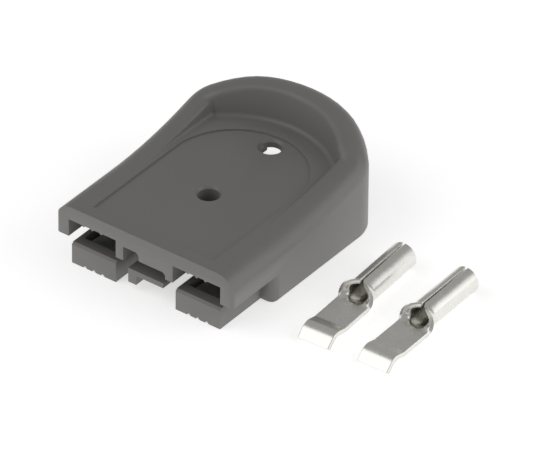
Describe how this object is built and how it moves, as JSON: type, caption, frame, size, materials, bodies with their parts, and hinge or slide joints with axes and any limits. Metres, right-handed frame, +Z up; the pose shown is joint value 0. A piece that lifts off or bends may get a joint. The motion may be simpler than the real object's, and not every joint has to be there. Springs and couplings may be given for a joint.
{
  "type": "genderless power connector",
  "caption": "Flat grey genderless power connector housing with a thumb scoop and screw holes, with its crimp contacts lying beside it.",
  "frame": {"origin": "on the underside, midway between the two screw holes", "axes": "+X across the mating face towards the loose contacts, +Y from the mating face to the thumb rim, +Z up out of the underside"},
  "size_m": [0.0755, 0.0562, 0.0209],
  "materials": {
    "housing_plastic": "satin moulded polycarbonate, mid grey",
    "tinned_contact": "tin plated copper sheet, bright with fine stamping lines",
    "spring_steel": "rolled stainless strip"
  },
  "bodies": {
    "root": {"housing": "housing_plastic", "contact_left": "tinned_contact", "contact_right": "tinned_contact", "spring_left": "spring_steel", "spring_right": "spring_steel"}
  },
  "joints": []
}
